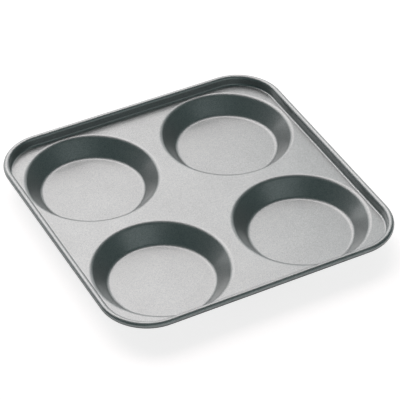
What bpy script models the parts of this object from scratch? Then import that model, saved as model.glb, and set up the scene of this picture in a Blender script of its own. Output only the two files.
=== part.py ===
"""Four-hole baking pan for batter puddings.

One pressed steel sheet forms the wells, the deck, the upright wall and the rolled rim.
A steel wire lies inside the rolled rim. The origin is under the centre of the pan, on the
plane of the undersides of the wells.
"""
import math

import bmesh
import bpy

# Sheet and rim wire, in metres
SHEET = 0.0008
WIRE_DIAMETER = 0.0028
WIRE_CLEARANCE = 0.0003
WIRE_END_GAP = 0.0010

# Wells, measured on the upper face of the sheet
WELLS_PER_SIDE = 2
WELL_FLOOR_RADIUS = 0.0403
WELL_FLARE = 0.0113
WELL_DEPTH = 0.0139
MOUTH_FILLET = 0.0045
FLOOR_FILLET = 0.0040

# Flat deck between the wells and around them
WEB_WIDTH = 0.0105
BORDER_WIDTH = 0.0005
DECK_CORNER_RADIUS = 0.0310

# Upright wall around the deck
ROOT_FILLET = 0.0015
WALL_HEIGHT = 0.0040
WALL_LEAN = math.radians(4.0)
CURL_CLEARANCE = 0.0003

# Facets
WELL_SEGMENTS = 48
MOUTH_FILLET_SEGMENTS = 4
FLOOR_FILLET_SEGMENTS = 3
CORNER_SEGMENTS = 9
ROOT_FILLET_SEGMENTS = 3
CURL_SEGMENTS_PER_QUARTER = 5
WIRE_BEVEL_RESOLUTION = 2
SMOOTH_ANGLE = math.radians(40)
WELD_DISTANCE = 0.000001

# Sizes that follow from the ones above
FLOOR_Z = SHEET
DECK_Z = SHEET + WELL_DEPTH
WALL_SLOPE = math.atan2(WELL_DEPTH, WELL_FLARE)
MOUTH_TANGENT = MOUTH_FILLET * math.tan(WALL_SLOPE / 2)
FLOOR_TANGENT = FLOOR_FILLET * math.tan(WALL_SLOPE / 2)
MOUTH_EDGE_RADIUS = WELL_FLOOR_RADIUS + WELL_FLARE + MOUTH_TANGENT
FLOOR_FLAT_RADIUS = WELL_FLOOR_RADIUS - FLOOR_TANGENT
WELL_PITCH = 2 * MOUTH_EDGE_RADIUS + WEB_WIDTH
OUTER_WELL = WELL_PITCH * (WELLS_PER_SIDE - 1) / 2
DECK_HALF = OUTER_WELL + MOUTH_EDGE_RADIUS + BORDER_WIDTH
BEAD_RADIUS = WIRE_DIAMETER / 2 + WIRE_CLEARANCE + SHEET
WALL_FOOT_OUT = ROOT_FILLET * math.cos(WALL_LEAN)
WALL_FOOT_UP = ROOT_FILLET * (1 - math.sin(WALL_LEAN))
WALL_TOP_OUT = WALL_FOOT_OUT + WALL_HEIGHT * math.tan(WALL_LEAN)
WALL_TOP_UP = WALL_FOOT_UP + WALL_HEIGHT
BEAD_OUT = WALL_TOP_OUT + BEAD_RADIUS * math.cos(WALL_LEAN)
BEAD_UP = WALL_TOP_UP - BEAD_RADIUS * math.sin(WALL_LEAN)


def clear_scene():
    """Remove what the start-up file holds."""
    for thing in list(bpy.data.objects):
        bpy.data.objects.remove(thing, do_unlink=True)


def make_collection(name):
    """Make a collection in the scene."""
    collection = bpy.data.collections.new(name)
    bpy.context.scene.collection.children.link(collection)
    return collection


def make_material(name, colour, metallic, roughness):
    """Make a plain Principled material."""
    material = bpy.data.materials.new(name)
    material.use_nodes = True
    shader = material.node_tree.nodes["Principled BSDF"]
    shader.inputs["Base Color"].default_value = (*colour, 1.0)
    shader.inputs["Metallic"].default_value = metallic
    shader.inputs["Roughness"].default_value = roughness
    material.diffuse_color = (*colour, 1.0)
    return material


def arc(centre, radius, start, end, segments):
    """Points (out, up) on an arc, from the start angle to the end angle."""
    steps = [start + (end - start) * i / segments for i in range(segments + 1)]
    return [(centre[0] + radius * math.cos(a), centre[1] + radius * math.sin(a)) for a in steps]


def well_profile():
    """Upper face of a well, as (radius, height), from the floor to the edge of the mouth."""
    upright = math.pi / 2
    floor_centre = (FLOOR_FLAT_RADIUS, FLOOR_Z + FLOOR_FILLET)
    floor_bend = arc(floor_centre, FLOOR_FILLET, -upright, WALL_SLOPE - upright, FLOOR_FILLET_SEGMENTS)
    mouth_centre = (MOUTH_EDGE_RADIUS, DECK_Z - MOUTH_FILLET)
    mouth_bend = arc(mouth_centre, MOUTH_FILLET, upright + WALL_SLOPE, upright, MOUTH_FILLET_SEGMENTS)
    return floor_bend + mouth_bend


def curl_sweep():
    """Angle that the sheet turns through, until its edge nearly meets the back of the wall."""
    reach = BEAD_RADIUS - SHEET - CURL_CLEARANCE
    return 2 * math.pi - math.acos(reach / BEAD_RADIUS)


def rim_profile():
    """Upper face of the wall and rim, as (outwards, height), from the deck to the sheet's edge.

    The curl has a point at its crown, its outermost place and its lowest place.
    """
    quarter = math.pi / 2
    start = math.pi - WALL_LEAN
    stops = [start, quarter, 0.0, -quarter, start - curl_sweep()]
    bend_centre = (DECK_HALF, DECK_Z + ROOT_FILLET)
    profile = arc(bend_centre, ROOT_FILLET, -quarter, -WALL_LEAN, ROOT_FILLET_SEGMENTS)
    bead_centre = (DECK_HALF + BEAD_OUT, DECK_Z + BEAD_UP)
    for first, last in zip(stops, stops[1:]):
        segments = max(1, round(CURL_SEGMENTS_PER_QUARTER * (first - last) / quarter))
        bend = arc(bead_centre, BEAD_RADIUS, first, last, segments)
        profile += bend if first == start else bend[1:]
    return profile


def corner_centre(inset, heading):
    """Centre of a rounded corner that begins at a heading and lies inset from both axes."""
    diagonal = heading + math.pi / 4
    return inset * math.sqrt(2) * math.cos(diagonal), inset * math.sqrt(2) * math.sin(diagonal)


def draw_profile(bm, points, x, y):
    """Draw a profile in the plane through (x, y) that faces along Y."""
    verts = [bm.verts.new((x + out, y, up)) for out, up in points]
    edges = [bm.edges.new(pair) for pair in zip(verts, verts[1:])]
    return verts + edges


def edges_in(geometry):
    """The edges in a list of mesh elements."""
    return [item for item in geometry if isinstance(item, bmesh.types.BMEdge)]


def verts_in(geometry):
    """The vertices in a list of mesh elements."""
    return [item for item in geometry if isinstance(item, bmesh.types.BMVert)]


def add_well(bm, x, y):
    """Turn a well's profile about its axis."""
    profile = draw_profile(bm, well_profile(), x, y)
    bmesh.ops.spin(bm, geom=profile, cent=(x, y, 0), axis=(0, 0, 1), dvec=(0, 0, 0),
                   angle=2 * math.pi, steps=WELL_SEGMENTS, use_merge=True)


def add_rim(bm):
    """Pull the rim's profile along each side of the deck and turn it round each corner."""
    straight = DECK_HALF - DECK_CORNER_RADIUS
    edges = edges_in(draw_profile(bm, rim_profile(), 0, -straight))
    for side in range(4):
        heading = side * math.pi / 2
        along = (-math.sin(heading) * 2 * straight, math.cos(heading) * 2 * straight, 0)
        pulled = bmesh.ops.extrude_edge_only(bm, edges=edges)["geom"]
        far_verts = verts_in(pulled)
        far_edges = [edge for edge in edges_in(pulled) if set(edge.verts) <= set(far_verts)]
        bmesh.ops.translate(bm, verts=far_verts, vec=along)
        corner = corner_centre(straight, heading)
        turned = bmesh.ops.spin(bm, geom=far_verts + far_edges, cent=(*corner, 0), axis=(0, 0, 1),
                                dvec=(0, 0, 0), angle=math.pi / 2, steps=CORNER_SEGMENTS)
        edges = edges_in(turned["geom_last"])


def open_edges_at(bm, height):
    """The open edges of the sheet that lie at a height."""
    return [edge for edge in bm.edges if edge.is_boundary
            and all(abs(vert.co.z - height) < WELD_DISTANCE for vert in edge.verts)]


def well_centres():
    """Centres of the wells, row by row."""
    places = [WELL_PITCH * i - OUTER_WELL for i in range(WELLS_PER_SIDE)]
    return [(x, y) for y in places for x in places]


def make_pan_body(collection, material):
    """Press the sheet: wells, floors, deck, wall and rim as one face, then its thickness."""
    bm = bmesh.new()
    for x, y in well_centres():
        add_well(bm, x, y)
    add_rim(bm)
    bmesh.ops.remove_doubles(bm, verts=bm.verts, dist=WELD_DISTANCE)
    bmesh.ops.holes_fill(bm, edges=open_edges_at(bm, FLOOR_Z), sides=0)
    bmesh.ops.triangle_fill(bm, edges=open_edges_at(bm, DECK_Z), use_beauty=True)
    bmesh.ops.recalc_face_normals(bm, faces=bm.faces)
    floor = min(bm.faces, key=lambda face: face.calc_center_median().z)
    if floor.normal.z < 0:
        bmesh.ops.reverse_faces(bm, faces=bm.faces)
    mesh = bpy.data.meshes.new("pan_body")
    bm.to_mesh(mesh)
    bm.free()
    mesh.shade_smooth()
    mesh.set_sharp_from_angle(angle=SMOOTH_ANGLE)
    mesh.materials.append(material)
    body = bpy.data.objects.new("pan_body", mesh)
    collection.objects.link(body)
    thickness = body.modifiers.new("sheet", "SOLIDIFY")
    thickness.thickness = SHEET
    thickness.offset = -1.0
    thickness.use_even_offset = True
    thickness.use_quality_normals = True
    return body


def wire_path():
    """Centre line of the rim wire, once round the pan from one end of the wire to the other."""
    half = DECK_HALF + BEAD_OUT
    radius = DECK_CORNER_RADIUS + BEAD_OUT
    points = [(-WIRE_END_GAP / 2, half)]
    for corner in range(4):
        heading = (corner + 1) * math.pi / 2
        centre = corner_centre(half - radius, heading)
        points += arc(centre, radius, heading, heading + math.pi / 2, CORNER_SEGMENTS)
    points.append((WIRE_END_GAP / 2, half))
    return points


def make_rim_wire(collection, material):
    """Bend the wire that lies in the rolled rim."""
    curve = bpy.data.curves.new("rim_wire", "CURVE")
    curve.dimensions = "3D"
    curve.bevel_depth = WIRE_DIAMETER / 2
    curve.bevel_resolution = WIRE_BEVEL_RESOLUTION
    curve.use_fill_caps = True
    path = wire_path()
    spline = curve.splines.new("POLY")
    spline.points.add(len(path) - 1)
    for point, (x, y) in zip(spline.points, path):
        point.co = (x, y, 0, 1)
    curve.materials.append(material)
    wire = bpy.data.objects.new("rim_wire", curve)
    wire.location = (0, 0, DECK_Z + BEAD_UP)
    collection.objects.link(wire)
    return wire


def main():
    """Build the pan."""
    clear_scene()
    pan = make_collection("yorkshire_pudding_pan")
    coat = make_material("grey_metallic_coat", (0.56, 0.57, 0.57), 0.8, 0.38)
    steel = make_material("bright_wire_steel", (0.50, 0.50, 0.50), 1.0, 0.35)
    root = bpy.data.objects.new("pan", None)
    pan.objects.link(root)
    make_pan_body(pan, coat).parent = root
    make_rim_wire(pan, steel).parent = root


main()
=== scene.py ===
"""Looks of the four-hole pudding pan: its pressed sheet, its coat, the wire, and the studio.

Lengths are in metres and angles in radians. The sheet is modelled again with a finer surface,
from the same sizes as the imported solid, and stands in its place. Nothing on the pan moves, so
all of it rides on the one body.
"""
import math

import bmesh
import bpy
from mathutils import Matrix, Vector


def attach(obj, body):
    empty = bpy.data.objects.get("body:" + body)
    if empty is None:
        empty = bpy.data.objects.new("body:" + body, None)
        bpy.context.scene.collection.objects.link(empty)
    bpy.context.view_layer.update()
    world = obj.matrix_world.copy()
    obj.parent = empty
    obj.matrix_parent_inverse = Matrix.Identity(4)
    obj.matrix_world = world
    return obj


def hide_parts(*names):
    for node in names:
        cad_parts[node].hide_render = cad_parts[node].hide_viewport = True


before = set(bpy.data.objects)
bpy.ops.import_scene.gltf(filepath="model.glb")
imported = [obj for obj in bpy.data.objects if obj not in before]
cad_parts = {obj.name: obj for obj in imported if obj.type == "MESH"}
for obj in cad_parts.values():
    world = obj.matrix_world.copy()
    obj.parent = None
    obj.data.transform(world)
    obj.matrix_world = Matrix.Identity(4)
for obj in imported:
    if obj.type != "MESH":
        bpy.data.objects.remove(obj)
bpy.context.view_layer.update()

# Sheet and rim wire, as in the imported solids
SHEET = 0.0008
WIRE_DIAMETER = 0.0028
WIRE_CLEARANCE = 0.0003

# Wells, measured on the upper face of the sheet
WELLS_PER_SIDE = 2
WELL_FLOOR_RADIUS = 0.0403
WELL_FLARE = 0.0113
WELL_DEPTH = 0.0139
MOUTH_FILLET = 0.0045
FLOOR_FILLET = 0.0040

# Flat deck, and the wall and rolled rim around it
WEB_WIDTH = 0.0105
BORDER_WIDTH = 0.0005
DECK_CORNER_RADIUS = 0.0310
ROOT_FILLET = 0.0015
WALL_HEIGHT = 0.0040
WALL_LEAN = math.radians(4.0)
CURL_CLEARANCE = 0.0003

# Sizes that follow from the ones above
DECK_Z = SHEET + WELL_DEPTH
WALL_SLOPE = math.atan2(WELL_DEPTH, WELL_FLARE)
FLOOR_EDGE_RADIUS = WELL_FLOOR_RADIUS - FLOOR_FILLET * math.tan(WALL_SLOPE / 2)
MOUTH_EDGE_RADIUS = WELL_FLOOR_RADIUS + WELL_FLARE + MOUTH_FILLET * math.tan(WALL_SLOPE / 2)
WELL_PITCH = 2 * MOUTH_EDGE_RADIUS + WEB_WIDTH
DECK_HALF = WELL_PITCH * (WELLS_PER_SIDE - 1) / 2 + MOUTH_EDGE_RADIUS + BORDER_WIDTH
BEAD_RADIUS = WIRE_DIAMETER / 2 + WIRE_CLEARANCE + SHEET
WALL_FOOT_OUT = ROOT_FILLET * math.cos(WALL_LEAN)
WALL_FOOT_UP = ROOT_FILLET * (1 - math.sin(WALL_LEAN))
BEAD_OUT = WALL_FOOT_OUT + WALL_HEIGHT * math.tan(WALL_LEAN) + BEAD_RADIUS * math.cos(WALL_LEAN)
BEAD_UP = WALL_FOOT_UP + WALL_HEIGHT - BEAD_RADIUS * math.sin(WALL_LEAN)
CURL_SWEEP = 2 * math.pi - math.acos((BEAD_RADIUS - SHEET - CURL_CLEARANCE) / BEAD_RADIUS)

# Fineness of the surface
WELL_STEPS = 144
FLOOR_BEND_STEPS = 8
MOUTH_BEND_STEPS = 10
CORNER_STEPS = 30
ROOT_BEND_STEPS = 8
CURL_STEPS = 52
WELD_DISTANCE = 0.000002
HEIGHT_TOLERANCE = 0.00002
SHARP_ANGLE = math.radians(40)

# Span in which most values of a noise texture lie
NOISE_SPAN = (0.3, 0.7)

# Coat of the sheet: metallic flecks from dull to bright in a grey binder, under a thin clear layer
COAT_TINT = (0.93, 1.02, 1.02)
FLECK_SCALE = 2600.0
FLECK_TONE = (0.206, 0.333)
FLECK_ROUGHNESS = (0.36, 0.44)
CLOUD_SCALE = 40.0
CLOUD_DETAIL = 3.0
CLOUD_SHADE = (0.97, 1.03)
GRAIN_SCALE = 1800.0
GRAIN_DETAIL = 2.0
GRAIN_DEPTH = 0.0001
GRAIN_STRENGTH = 0.10
METAL_SHARE = 0.70
CLEAR_WEIGHT = 0.52
CLEAR_ROUGHNESS = 0.15

# Steel of the wire, slightly mottled
MOTTLE_SCALE = 900.0
MOTTLE_DETAIL = 3.0
WIRE_TONE = (0.44, 0.56)
WIRE_ROUGHNESS = (0.30, 0.42)

# Camera, solved on the outlines of the pan in the photograph. Lens and sensor are in millimetres.
CAMERA_AZIMUTH = math.radians(-27.94)
CAMERA_ELEVATION = math.radians(40.05)
CAMERA_ROLL = math.radians(0.11)
CAMERA_DISTANCE = 1.5165
CAMERA_TARGET = (0.00152, -0.00452, 0.01499)
CAMERA_LENS = 179.0
CAMERA_SENSOR = 36.0
CAMERA_NEAREST = 0.01

# Studio, seen from the pan: azimuth 0 is straight behind it and grows to the right of the picture.
# A white opening behind the pan is left between dim curtains, which stand over the rest of it.
# Light levels are radiances, where 1 is white.
ROOM_LIGHT = 1.15
CURTAIN_RADIUS = 2.8
CURTAIN_STRIPS = 72
CURTAIN_RINGS = 36
CURTAIN_IN_METAL = (0.046, 0.105, 0.103)
CURTAIN_ON_FLOOR = (0.086, 0.086, 0.086)
OPENING_LEFT = math.radians(-71)
OPENING_RIGHT = math.radians(36)
OPENING_TOP = math.radians(62)
LAMP_DISTANCE = 2.0
WARM_WHITE = (1.0, 0.875, 0.875)
NEUTRAL_WHITE = (1.0, 1.0, 1.0)
SOFT_BOXES = {
    "key_soft_box": {
        "azimuth": math.radians(-29), "elevation": math.radians(49),
        "size": (1.92, 1.78), "radiance": 1.85, "colour": WARM_WHITE},
    "top_soft_box": {
        "azimuth": math.radians(-10), "elevation": math.radians(61),
        "size": (1.80, 1.08), "radiance": 1.25, "colour": WARM_WHITE},
    "fill_soft_box": {
        "azimuth": math.radians(149), "elevation": math.radians(20),
        "size": (2.36, 0.90), "radiance": 0.84, "colour": NEUTRAL_WHITE},
}

# Floor: its own colour, and the glow that whitens it to the camera and in reflections; in reflections
# that glow carries a painted shade near the pan, from ambient occlusion raised to a power
FLOOR_SIDE = 8.0
FLOOR_GAP = 0.0001
FLOOR_COLOUR = 0.40
FLOOR_ROUGHNESS = 0.9
FLOOR_GLOW = 0.80
FLOOR_PAINTED_SHADE_REACH = 0.3
FLOOR_PAINTED_SHADE_DEPTH = 8.0
FLOOR_PAINTED_SHADE_SAMPLES = 4


def add_node(tree, kind, inputs=(), **settings):
    """Add a node. An input is given by name or number, as a value or as another node's socket."""
    node = tree.nodes.new(kind)
    for name, value in settings.items():
        setattr(node, name, value)
    for key, value in dict(inputs).items():
        if isinstance(value, bpy.types.NodeSocket):
            tree.links.new(value, node.inputs[key])
        else:
            node.inputs[key].default_value = value
    return node


def reckon(tree, operation, first, second):
    """Result of a Math node on two values."""
    return add_node(tree, "ShaderNodeMath", {0: first, 1: second}, operation=operation).outputs[0]


def new_geometry_tree(name, sizes):
    """A Geometry Nodes tree with an input for each named size, and its input node's sockets."""
    tree = bpy.data.node_groups.new(name, "GeometryNodeTree")
    kinds = {int: "NodeSocketInt", float: "NodeSocketFloat", tuple: "NodeSocketVector"}
    for label, value in sizes.items():
        tree.interface.new_socket(label, in_out="INPUT", socket_type=kinds[type(value)])
    tree.interface.new_socket("Geometry", in_out="OUTPUT", socket_type="NodeSocketGeometry")
    return tree, add_node(tree, "NodeGroupInput").outputs


def bend(tree, centre, radius, start, sweep, steps):
    """Points along an arc of a profile, which is drawn in the plane of X outwards and Y up."""
    # Input 4 of an arc is its radius, where the arc is given by radius and angles
    arc = add_node(tree, "GeometryNodeCurveArc", {
        "Resolution": reckon(tree, "ADD", steps, 1.0),
        4: radius, "Start Angle": start, "Sweep Angle": sweep}).outputs[0]
    placed = add_node(tree, "GeometryNodeTransform", {"Geometry": arc, "Translation": centre})
    points = add_node(tree, "GeometryNodeCurveToPoints", {"Curve": placed.outputs[0]},
                      mode="EVALUATED")
    return points.outputs[0]


def join(tree, parts):
    """Join geometries in the order given. The node puts the link made last first."""
    node = add_node(tree, "GeometryNodeJoinGeometry")
    for part in reversed(parts):
        tree.links.new(part, node.inputs[0])
    return node.outputs[0]


def sweep(tree, path, bends):
    """Press a strip of sheet: join bends into one profile and pull it along a level path."""
    profile = add_node(tree, "GeometryNodePointsToCurves", {"Points": join(tree, bends)})
    upright = add_node(tree, "GeometryNodeTransform", {
        "Geometry": profile.outputs[0], "Rotation": (math.pi, 0, 0)})
    level = add_node(tree, "GeometryNodeSetCurveNormal", {"Curve": path}, mode="Z_UP")
    return add_node(tree, "GeometryNodeCurveToMesh", {
        "Curve": level.outputs[0], "Profile Curve": upright.outputs[0]}).outputs[0]


def fill_at(tree, mesh, height):
    """Flat sheet that closes the open edges of a mesh at a height."""
    # Inputs 2 and 3 of a comparison are its whole numbers, 0 and 1 its fractions, 12 its tolerance
    faces = add_node(tree, "GeometryNodeInputMeshEdgeNeighbors").outputs[0]
    is_open = add_node(tree, "FunctionNodeCompare", {2: faces, 3: 1},
                       data_type="INT", operation="EQUAL").outputs[0]
    position = add_node(tree, "GeometryNodeInputPosition").outputs[0]
    z = add_node(tree, "ShaderNodeSeparateXYZ", {0: position}).outputs[2]
    is_level = add_node(tree, "FunctionNodeCompare", {0: z, 1: height, 12: HEIGHT_TOLERANCE},
                        data_type="FLOAT", operation="EQUAL").outputs[0]
    both = add_node(tree, "FunctionNodeBooleanMath", {0: is_open, 1: is_level}, operation="AND")
    outline = add_node(tree, "GeometryNodeMeshToCurve", {"Mesh": mesh, "Selection": both.outputs[0]})
    flat = add_node(tree, "GeometryNodeFillCurve", {"Curve": outline.outputs[0]})
    lift = add_node(tree, "ShaderNodeCombineXYZ", {2: height})
    return add_node(tree, "GeometryNodeTransform", {
        "Geometry": flat.outputs[0], "Translation": lift.outputs[0]}).outputs[0]


def pan_sheet_tree(sizes, coat):
    """The pressed sheet's upper face: wells on a grid, their floors, the deck, the wall and the rim."""
    tree, size = new_geometry_tree("pan_sheet", sizes)
    mouth = add_node(tree, "GeometryNodeCurvePrimitiveCircle", {
        "Resolution": size["Well Steps"], "Radius": size["Mouth Edge Radius"]}).outputs[0]
    mouth_start = reckon(tree, "ADD", size["Wall Slope"], math.pi / 2)
    mouth_sweep = reckon(tree, "MULTIPLY", size["Wall Slope"], -1.0)
    well = sweep(tree, mouth, [
        bend(tree, size["Floor Bend Centre"], size["Floor Fillet"], -math.pi / 2,
             size["Wall Slope"], size["Floor Bend Steps"]),
        bend(tree, size["Mouth Bend Centre"], size["Mouth Fillet"], mouth_start,
             mouth_sweep, size["Mouth Bend Steps"])])
    gaps = reckon(tree, "ADD", size["Wells Per Side"], -1.0)
    side = reckon(tree, "MULTIPLY", gaps, size["Well Pitch"])
    grid = add_node(tree, "GeometryNodeMeshGrid", {
        "Size X": side, "Size Y": side,
        "Vertices X": size["Wells Per Side"], "Vertices Y": size["Wells Per Side"]}).outputs[0]
    wells = add_node(tree, "GeometryNodeInstanceOnPoints", {"Points": grid, "Instance": well})
    wells = add_node(tree, "GeometryNodeRealizeInstances", {"Geometry": wells.outputs[0]}).outputs[0]
    square = add_node(tree, "GeometryNodeCurvePrimitiveQuadrilateral", {
        "Width": size["Deck Side"], "Height": size["Deck Side"]}).outputs[0]
    edge = add_node(tree, "GeometryNodeFilletCurve", {
        "Curve": square, "Count": size["Corner Steps"], "Radius": size["Deck Corner Radius"]},
        mode="POLY").outputs[0]
    root_sweep = reckon(tree, "SUBTRACT", math.pi / 2, size["Wall Lean"])
    curl_start = reckon(tree, "SUBTRACT", math.pi, size["Wall Lean"])
    curl_sweep = reckon(tree, "MULTIPLY", size["Curl Sweep"], -1.0)
    rim = sweep(tree, edge, [
        bend(tree, size["Root Bend Centre"], size["Root Fillet"], -math.pi / 2,
             root_sweep, size["Root Bend Steps"]),
        bend(tree, size["Bead Centre"], size["Bead Radius"], curl_start,
             curl_sweep, size["Curl Steps"])])
    pressed = add_node(tree, "GeometryNodeMergeByDistance", {
        "Geometry": join(tree, [wells, rim]), "Distance": WELD_DISTANCE}).outputs[0]
    flats = [fill_at(tree, pressed, size["Deck Height"]), fill_at(tree, pressed, size["Floor Height"])]
    whole = add_node(tree, "GeometryNodeMergeByDistance", {
        "Geometry": join(tree, [pressed, *flats]), "Distance": WELD_DISTANCE}).outputs[0]
    smooth = add_node(tree, "GeometryNodeSetShadeSmooth", {"Geometry": whole}).outputs[0]
    real = add_node(tree, "GeometryNodeRealizeInstances", {"Geometry": smooth}).outputs[0]
    coated = add_node(tree, "GeometryNodeSetMaterial", {"Geometry": real, "Material": coat}).outputs[0]
    add_node(tree, "NodeGroupOutput", {0: coated})
    return tree


def give_sizes(modifier, sizes):
    """Set a Geometry Nodes modifier's inputs, by the identifiers of their sockets."""
    for item in modifier.node_group.interface.items_tree:
        if item.in_out == "INPUT":
            modifier[item.identifier] = sizes[item.name]


def make_pan_sheet(coat):
    """The whole pressing as one smooth sheet of even thickness."""
    sizes = {
        "Wells Per Side": WELLS_PER_SIDE,
        "Well Pitch": WELL_PITCH,
        "Well Steps": WELL_STEPS,
        "Mouth Edge Radius": MOUTH_EDGE_RADIUS,
        "Wall Slope": WALL_SLOPE,
        "Floor Height": SHEET,
        "Floor Fillet": FLOOR_FILLET,
        "Floor Bend Centre": (FLOOR_EDGE_RADIUS - MOUTH_EDGE_RADIUS, SHEET + FLOOR_FILLET, 0.0),
        "Floor Bend Steps": FLOOR_BEND_STEPS,
        "Mouth Fillet": MOUTH_FILLET,
        "Mouth Bend Centre": (0.0, DECK_Z - MOUTH_FILLET, 0.0),
        "Mouth Bend Steps": MOUTH_BEND_STEPS,
        "Deck Height": DECK_Z,
        "Deck Side": 2 * DECK_HALF,
        "Deck Corner Radius": DECK_CORNER_RADIUS,
        "Corner Steps": CORNER_STEPS,
        "Wall Lean": WALL_LEAN,
        "Root Fillet": ROOT_FILLET,
        "Root Bend Centre": (0.0, DECK_Z + ROOT_FILLET, 0.0),
        "Root Bend Steps": ROOT_BEND_STEPS,
        "Bead Radius": BEAD_RADIUS,
        "Bead Centre": (BEAD_OUT, DECK_Z + BEAD_UP, 0.0),
        "Curl Sweep": CURL_SWEEP,
        "Curl Steps": CURL_STEPS,
    }
    draft = bpy.data.objects.new("pan_sheet_draft", bpy.data.meshes.new("pan_sheet_draft"))
    bpy.context.scene.collection.objects.link(draft)
    pressing = draft.modifiers.new("pressing", "NODES")
    pressing.node_group = pan_sheet_tree(sizes, coat)
    give_sizes(pressing, sizes)
    thickness = draft.modifiers.new("thickness", "SOLIDIFY")
    thickness.thickness = SHEET
    thickness.offset = -1.0
    thickness.use_even_offset = True
    thickness.use_quality_normals = True
    evaluated = draft.evaluated_get(bpy.context.evaluated_depsgraph_get())
    mesh = bpy.data.meshes.new_from_object(evaluated)
    mesh.name = "pan_sheet"
    mesh.set_sharp_from_angle(angle=SHARP_ANGLE)
    bpy.data.objects.remove(draft)
    sheet = bpy.data.objects.new("pan_sheet", mesh)
    bpy.context.scene.collection.objects.link(sheet)
    flats_first = sheet.modifiers.new("flats_stay_flat", "WEIGHTED_NORMAL")
    flats_first.keep_sharp = True
    return sheet


def new_material(name):
    """A material with a Principled shader, and the shader."""
    material = bpy.data.materials.new(name)
    material.use_nodes = True
    return material, material.node_tree.nodes["Principled BSDF"]


def add_noise(tree, place, scale, detail):
    """Values of a noise texture at a place."""
    return add_node(tree, "ShaderNodeTexNoise", {
        "Vector": place, "Scale": scale, "Detail": detail}).outputs["Fac"]


def spread_over(tree, value, span, ends):
    """Map a value that runs over a span onto the two ends."""
    return add_node(tree, "ShaderNodeMapRange", {
        0: value, 1: span[0], 2: span[1], 3: ends[0], 4: ends[1]}).outputs[0]


def make_coat():
    """Grey non-stick coat: fine metallic flecks, a little cloudy and grainy, under a clear layer."""
    material, shader = new_material("grey_metallic_coat")
    tree = material.node_tree
    place = add_node(tree, "ShaderNodeTexCoord").outputs["Object"]
    cells = add_node(tree, "ShaderNodeTexVoronoi", {"Vector": place, "Scale": FLECK_SCALE})
    fleck = add_node(tree, "ShaderNodeSeparateColor", {0: cells.outputs["Color"]}).outputs[0]
    tone = spread_over(tree, fleck, (0.0, 1.0), FLECK_TONE)
    shade = spread_over(tree, add_noise(tree, place, CLOUD_SCALE, CLOUD_DETAIL), NOISE_SPAN, CLOUD_SHADE)
    colour = add_node(tree, "ShaderNodeVectorMath", {
        0: COAT_TINT, "Scale": reckon(tree, "MULTIPLY", tone, shade)}, operation="SCALE").outputs[0]
    tree.links.new(colour, shader.inputs["Base Color"])
    tree.links.new(spread_over(tree, fleck, (0.0, 1.0), FLECK_ROUGHNESS), shader.inputs["Roughness"])
    bump = add_node(tree, "ShaderNodeBump", {
        "Height": add_noise(tree, place, GRAIN_SCALE, GRAIN_DETAIL),
        "Strength": GRAIN_STRENGTH, "Distance": GRAIN_DEPTH})
    tree.links.new(bump.outputs[0], shader.inputs["Normal"])
    shader.inputs["Metallic"].default_value = METAL_SHARE
    shader.inputs["Coat Weight"].default_value = CLEAR_WEIGHT
    shader.inputs["Coat Roughness"].default_value = CLEAR_ROUGHNESS
    return material


def make_wire_steel():
    """Drawn steel wire, whose tone and gloss are slightly mottled."""
    material, shader = new_material("bright_wire_steel")
    tree = material.node_tree
    place = add_node(tree, "ShaderNodeTexCoord").outputs["Object"]
    mottle = add_noise(tree, place, MOTTLE_SCALE, MOTTLE_DETAIL)
    tone = spread_over(tree, mottle, NOISE_SPAN, WIRE_TONE)
    colour = add_node(tree, "ShaderNodeCombineColor", {0: tone, 1: tone, 2: tone}).outputs[0]
    tree.links.new(colour, shader.inputs["Base Color"])
    tree.links.new(spread_over(tree, mottle, NOISE_SPAN, WIRE_ROUGHNESS), shader.inputs["Roughness"])
    shader.inputs["Metallic"].default_value = 1.0
    return material


def camera_frame():
    """Unit vectors to the right of the camera, up in its picture and back towards it."""
    back = Vector((math.sin(CAMERA_AZIMUTH) * math.cos(CAMERA_ELEVATION),
                   -math.cos(CAMERA_AZIMUTH) * math.cos(CAMERA_ELEVATION),
                   math.sin(CAMERA_ELEVATION)))
    level_right = Vector((math.cos(CAMERA_AZIMUTH), math.sin(CAMERA_AZIMUTH), 0))
    level_up = back.cross(level_right)
    right = math.cos(CAMERA_ROLL) * level_right + math.sin(CAMERA_ROLL) * level_up
    return right, back.cross(right), back


def make_camera():
    """Camera at the photograph's angle, distance and lens."""
    right, up, back = camera_frame()
    data = bpy.data.cameras.new("camera")
    data.lens = CAMERA_LENS
    data.sensor_width = CAMERA_SENSOR
    data.clip_start = CAMERA_NEAREST
    camera = bpy.data.objects.new("camera", data)
    place = Matrix.Translation(Vector(CAMERA_TARGET) + CAMERA_DISTANCE * back)
    turn = Matrix((right, up, back)).transposed()
    camera.matrix_world = place @ turn.to_4x4()
    bpy.context.scene.collection.objects.link(camera)
    bpy.context.scene.camera = camera


def studio_place(azimuth, elevation, distance):
    """A place in the studio, by its direction from the pan."""
    level = distance * math.cos(elevation)
    place = Vector((level * math.sin(azimuth), level * math.cos(azimuth), distance * math.sin(elevation)))
    return Matrix.Rotation(CAMERA_AZIMUTH, 3, "Z") @ place


def make_soft_box(name, azimuth, elevation, size, radiance, colour):
    """Soft box that faces the pan: an area lamp whose face has the given radiance."""
    data = bpy.data.lights.new(name, "AREA")
    data.shape = "RECTANGLE"
    data.size, data.size_y = size
    data.energy = radiance * math.pi * data.size * data.size_y
    data.color = colour
    lamp = bpy.data.objects.new(name, data)
    lamp.location = studio_place(azimuth, elevation, LAMP_DISTANCE)
    lamp.rotation_euler = lamp.location.to_track_quat("Z", "Y").to_euler()
    lamp.visible_camera = False
    bpy.context.scene.collection.objects.link(lamp)


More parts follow.
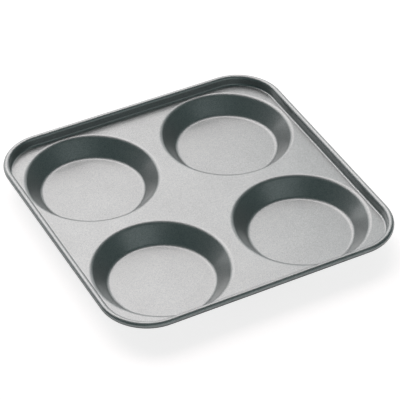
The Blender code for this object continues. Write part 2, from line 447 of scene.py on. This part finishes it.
def make_curtain_cloth():
    """Dim cloth that looks teal in the metal, and gives diffuse surfaces a neutral light."""
    material = bpy.data.materials.new("dim_curtain")
    material.use_nodes = True
    tree = material.node_tree
    tree.nodes.clear()
    is_diffuse = add_node(tree, "ShaderNodeLightPath").outputs["Is Diffuse Ray"]
    in_metal = add_node(tree, "ShaderNodeEmission", {"Color": (*CURTAIN_IN_METAL, 1.0)}).outputs[0]
    on_floor = add_node(tree, "ShaderNodeEmission", {"Color": (*CURTAIN_ON_FLOOR, 1.0)}).outputs[0]
    cloth = add_node(tree, "ShaderNodeMixShader", {0: is_diffuse, 1: in_metal, 2: on_floor})
    add_node(tree, "ShaderNodeOutputMaterial", {0: cloth.outputs[0]})
    return material


def make_curtains():
    """Dim curtains in front, at the sides and overhead, which the camera doesn't see."""
    mesh = bpy.data.meshes.new("curtains")
    shape = bmesh.new()
    bmesh.ops.create_uvsphere(
        shape, u_segments=CURTAIN_STRIPS, v_segments=CURTAIN_RINGS, radius=CURTAIN_RADIUS)
    gone = []
    for face in shape.faces:
        place = face.calc_center_median()
        azimuth = math.atan2(place.x, place.y)
        elevation = math.atan2(place.z, math.hypot(place.x, place.y))
        in_opening = OPENING_LEFT < azimuth < OPENING_RIGHT and elevation < OPENING_TOP
        if place.z < 0 or in_opening:
            gone.append(face)
    bmesh.ops.delete(shape, geom=gone, context="FACES")
    bmesh.ops.rotate(shape, verts=shape.verts, matrix=Matrix.Rotation(CAMERA_AZIMUTH, 3, "Z"))
    shape.to_mesh(mesh)
    shape.free()
    mesh.materials.append(make_curtain_cloth())
    curtains = bpy.data.objects.new("curtains", mesh)
    bpy.context.scene.collection.objects.link(curtains)
    curtains.visible_camera = False


def make_floor():
    """Pale floor, white to the camera and in reflections. To the camera it keeps the pan's cast shadow;
    in reflections its glow is darkened near the pan by painted shade, from ambient occlusion raised to a
    power.
    """
    bpy.ops.mesh.primitive_plane_add(size=FLOOR_SIDE, location=(0, 0, -FLOOR_GAP))
    floor = bpy.context.object
    floor.name = "floor"
    material, shader = new_material("pale_floor")
    tree = material.node_tree
    ray = add_node(tree, "ShaderNodeLightPath").outputs
    # Painted shade: in reflections the floor's glow fades near the pan by ambient occlusion raised to a
    # power, not by any lamp's shadow
    open_sky = add_node(tree, "ShaderNodeAmbientOcclusion", {"Distance": FLOOR_PAINTED_SHADE_REACH},
                        samples=FLOOR_PAINTED_SHADE_SAMPLES).outputs["AO"]
    unshaded = reckon(tree, "POWER", open_sky, FLOOR_PAINTED_SHADE_DEPTH)
    mirrored = reckon(tree, "MAXIMUM", ray["Is Glossy Ray"], ray["Is Transmission Ray"])
    seen = reckon(tree, "MAXIMUM", ray["Is Camera Ray"], reckon(tree, "MULTIPLY", mirrored, unshaded))
    shader.inputs["Base Color"].default_value = (FLOOR_COLOUR, FLOOR_COLOUR, FLOOR_COLOUR, 1)
    shader.inputs["Roughness"].default_value = FLOOR_ROUGHNESS
    shader.inputs["Specular IOR Level"].default_value = 0.0
    shader.inputs["Emission Color"].default_value = (1, 1, 1, 1)
    tree.links.new(reckon(tree, "MULTIPLY", seen, FLOOR_GLOW), shader.inputs["Emission Strength"])
    floor.data.materials.append(material)


def make_world():
    """Plain white room, which lights the pan through the opening between the curtains."""
    world = bpy.data.worlds.new("white_room")
    bpy.context.scene.world = world
    world.use_nodes = True
    tree = world.node_tree
    tree.nodes.clear()
    white = add_node(tree, "ShaderNodeBackground", {"Color": (1, 1, 1, 1), "Strength": ROOM_LIGHT})
    add_node(tree, "ShaderNodeOutputWorld", {0: white.outputs[0]})


coat = make_coat()
pan_sheet = make_pan_sheet(coat)
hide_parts("pan_body")
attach(pan_sheet, "root")

rim_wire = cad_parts["rim_wire"]
rim_wire.data.materials.clear()
rim_wire.data.materials.append(make_wire_steel())

make_floor()
make_curtains()
for name, lamp in SOFT_BOXES.items():
    make_soft_box(name, **lamp)
make_world()
make_camera()
bpy.context.scene.view_settings.view_transform = "Standard"
